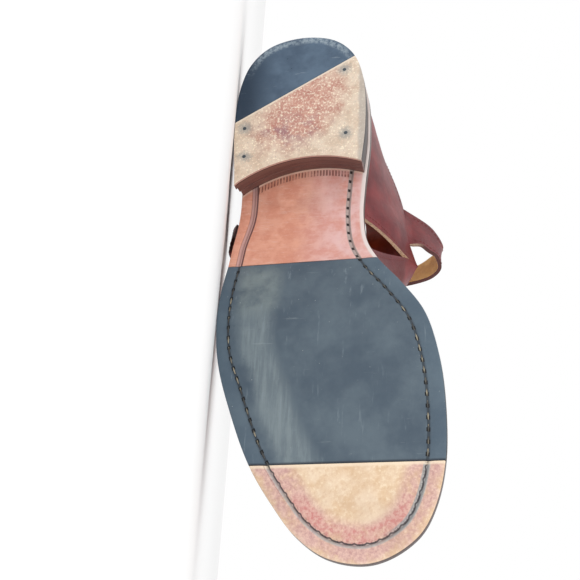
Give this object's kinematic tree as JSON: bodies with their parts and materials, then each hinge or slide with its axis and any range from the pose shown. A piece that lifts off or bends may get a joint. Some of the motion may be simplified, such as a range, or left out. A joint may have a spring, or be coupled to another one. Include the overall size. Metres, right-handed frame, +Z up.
{
  "type": "fisherman sandal",
  "caption": "Left leather fisherman sandal lying on its outer side: flat sole with a rubber half sole, stacked heel, woven cage upper with a T-bar, and a buckled ankle strap.",
  "frame": {"origin": "bottom centre of the bounding box, with the shoe lying on its outer side", "axes": "+X from heel to toe, -Y out of the treads, +Z up and to the inner side of the foot"},
  "size_m": [0.2814, 0.139, 0.1226],
  "materials": {
    "burgundy_leather": "smooth, softly polished",
    "sole_leather": "worn, matt",
    "slate_rubber": "smooth, dusty, scuffed",
    "stacked_leather": "waxed dark edge",
    "pale_leather": "worn, matt",
    "tan_lining": "matt",
    "brass": "polished"
  },
  "bodies": {
    "root": {"outsole": "sole_leather", "forefoot_rubber": "slate_rubber", "heel_lift_1": "stacked_leather", "heel_lift_2": "stacked_leather", "top_lift_leather": "pale_leather", "top_lift_rubber": "slate_rubber", "insole": "tan_lining", "upper": "burgundy_leather", "ankle_strap": "burgundy_leather", "buckle_strap": "burgundy_leather", "buckle_frame": "brass", "buckle_prong": "brass", "strap_keeper": "burgundy_leather"}
  },
  "joints": []
}
